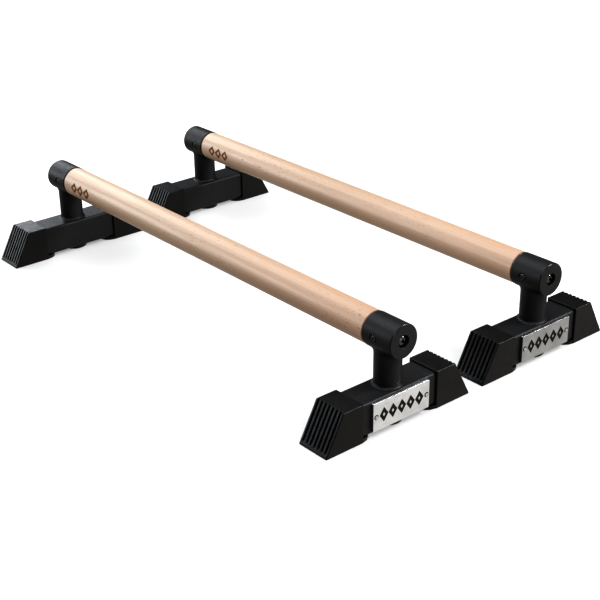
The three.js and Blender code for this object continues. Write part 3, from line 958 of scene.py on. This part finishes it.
# ---- stage, lights and camera ----
FLOOR_SIZE = 14.0
FLOOR_DROP = 0.1 * MM
FLOOR_GLOW = (0.22, 0.9)                   # the floor's own light, near the object and away from it
GLOW_REACH = (0.4, 1.6)                    # it changes between these distances, in metres
FLOOR_LIGHT = (0.19, 0.5)                  # what reaches the object from below, on the left and the right
FLOOR_TURN = (-0.6, 0.5)                   # directions in X between which it changes
HORIZON = (-0.15, 0.05)                    # directions in Z between which it fades
SKY = 0.12
WARM = (1, 0.955, 0.89, 1)                 # colour of the light from below and around
COOL = (0.93, 0.965, 1)                    # colour of the lights above and behind
NEUTRAL = (1, 1, 1)
SENSOR = 36                                # in mm, as LENS
LENS = 76.4
VIEW_HEADING = math.radians(39.71)         # from +Y towards +X
VIEW_PITCH = math.radians(-25.36)
VIEW_ROLL = math.radians(-0.84)
VIEW_DISTANCE = 1.6974
VIEW_TARGET = Vector((2.2 * MM, -37.7 * MM, 1.9 * MM))
# name, place, aim, size, power and colour
LIGHTS = (
    ("key", (-0.25, 0.2, 1.8), (0, 0, 0), (1.8, 1.8), 22, COOL),
    ("back", (0.2, 2.6, 1.2), (0, 0.2, 0), (1.8, 1.0), 26, COOL),
    ("left", (-1.7, 2.1, 0.7), (0, 0.2, 0), (1.6, 1.0), 23, COOL),
    ("front", (1.1, -1.2, 1.4), (0, -0.3, 0), (0.5, 0.5), 22, NEUTRAL),
    ("near", (-0.94, -1.74, 1.22), (0, -0.3, 0.1), (0.5, 0.5), 7, NEUTRAL),
    ("glint", (1.6, -1.75, 0.85), (0, -0.36, 0.1), (0.34, 0.34), 10, NEUTRAL),
    ("rims", (-0.85, -0.95, 1.8), (0, -0.3, 0.1), (0.4, 0.4), 4, NEUTRAL),
    ("low", (0, -2.8, 0.5), (0, -0.36, 0.05), (1.6, 0.9), 6, NEUTRAL),
)


def camera():
    level = math.cos(VIEW_PITCH)
    forward = Vector((math.sin(VIEW_HEADING) * level, math.cos(VIEW_HEADING) * level, math.sin(VIEW_PITCH)))
    data = bpy.data.cameras.new("camera")
    data.lens = LENS
    data.sensor_width = SENSOR
    holder = bpy.data.objects.new("camera", data)
    bpy.context.scene.collection.objects.link(holder)
    place = Matrix.Translation(VIEW_TARGET - forward * VIEW_DISTANCE)
    aim = forward.to_track_quat("-Z", "Y").to_matrix().to_4x4()
    holder.matrix_world = place @ aim @ Matrix.Rotation(VIEW_ROLL, 4, "Z")
    bpy.context.scene.camera = holder


def area_light(name, place, aim, size, power, colour):
    data = bpy.data.lights.new(name, "AREA")
    data.shape = "RECTANGLE"
    data.size, data.size_y = size
    data.energy = power
    data.color = colour
    light = bpy.data.objects.new(name, data)
    bpy.context.scene.collection.objects.link(light)
    light.location = place
    light.rotation_euler = (Vector(aim) - Vector(place)).to_track_quat("-Z", "Y").to_euler()


def surroundings():
    """Dim light from above, and light from below in place of the floor's, stronger on the right."""
    world = bpy.data.worlds.new("studio")
    world.use_nodes = True
    nodes, links = world.node_tree.nodes, world.node_tree.links
    direction = nodes.new("ShaderNodeSeparateXYZ")
    links.new(nodes.new("ShaderNodeTexCoord").outputs["Generated"], direction.inputs[0])

    def ramp(value, low, high, to_low, to_high):
        made = nodes.new("ShaderNodeMapRange")
        made.interpolation_type = "SMOOTHSTEP"
        links.new(value, made.inputs["Value"])
        settings = {"From Min": low, "From Max": high, "To Min": to_low, "To Max": to_high}
        for socket, number in settings.items():
            made.inputs[socket].default_value = number
        return made.outputs["Result"]

    below = ramp(direction.outputs["Z"], *HORIZON, 1, 0)
    from_floor = nodes.new("ShaderNodeMath")
    from_floor.operation = "MULTIPLY_ADD"
    links.new(ramp(direction.outputs["X"], *FLOOR_TURN, *FLOOR_LIGHT), from_floor.inputs[0])
    links.new(below, from_floor.inputs[1])
    from_floor.inputs[2].default_value = SKY
    background = nodes["Background"]
    background.inputs["Color"].default_value = WARM
    links.new(from_floor.outputs[0], background.inputs["Strength"])
    bpy.context.scene.world = world


def stage():
    look = Look("paper", Specular_IOR_Level=0.2)
    look.colour(look.blend(look.noise((3, 3, 3)), *PAPER_TONES))
    look.rough(look.between(look.noise((8, 8, 8)), 0, 1, *PAPER_ROUGHNESS))
    look.shader.inputs["Emission Color"].default_value = WHITE
    distance = look.node("VectorMath", {0: look.here}, operation="LENGTH").outputs["Value"]
    look.feed(look.shader.inputs["Emission Strength"], look.between(distance, *GLOW_REACH, *FLOOR_GLOW))
    half = FLOOR_SIZE / 2
    mesh = bpy.data.meshes.new("floor")
    corners = [(-half, -half, 0), (half, -half, 0), (half, half, 0), (-half, half, 0)]
    mesh.from_pydata(corners, [], [(0, 1, 2, 3)])
    mesh.materials.append(look.material)
    floor = bpy.data.objects.new("floor", mesh)
    floor.location.z = -FLOOR_DROP
    bpy.context.scene.collection.objects.link(floor)
    floor.visible_diffuse = False
    floor.visible_glossy = False
    surroundings()
    bpy.context.scene.view_settings.view_transform = "Standard"
    bpy.context.scene.view_settings.look = "Very High Contrast"
    for light in LIGHTS:
        area_light(*light)


camera()
stage()
build()
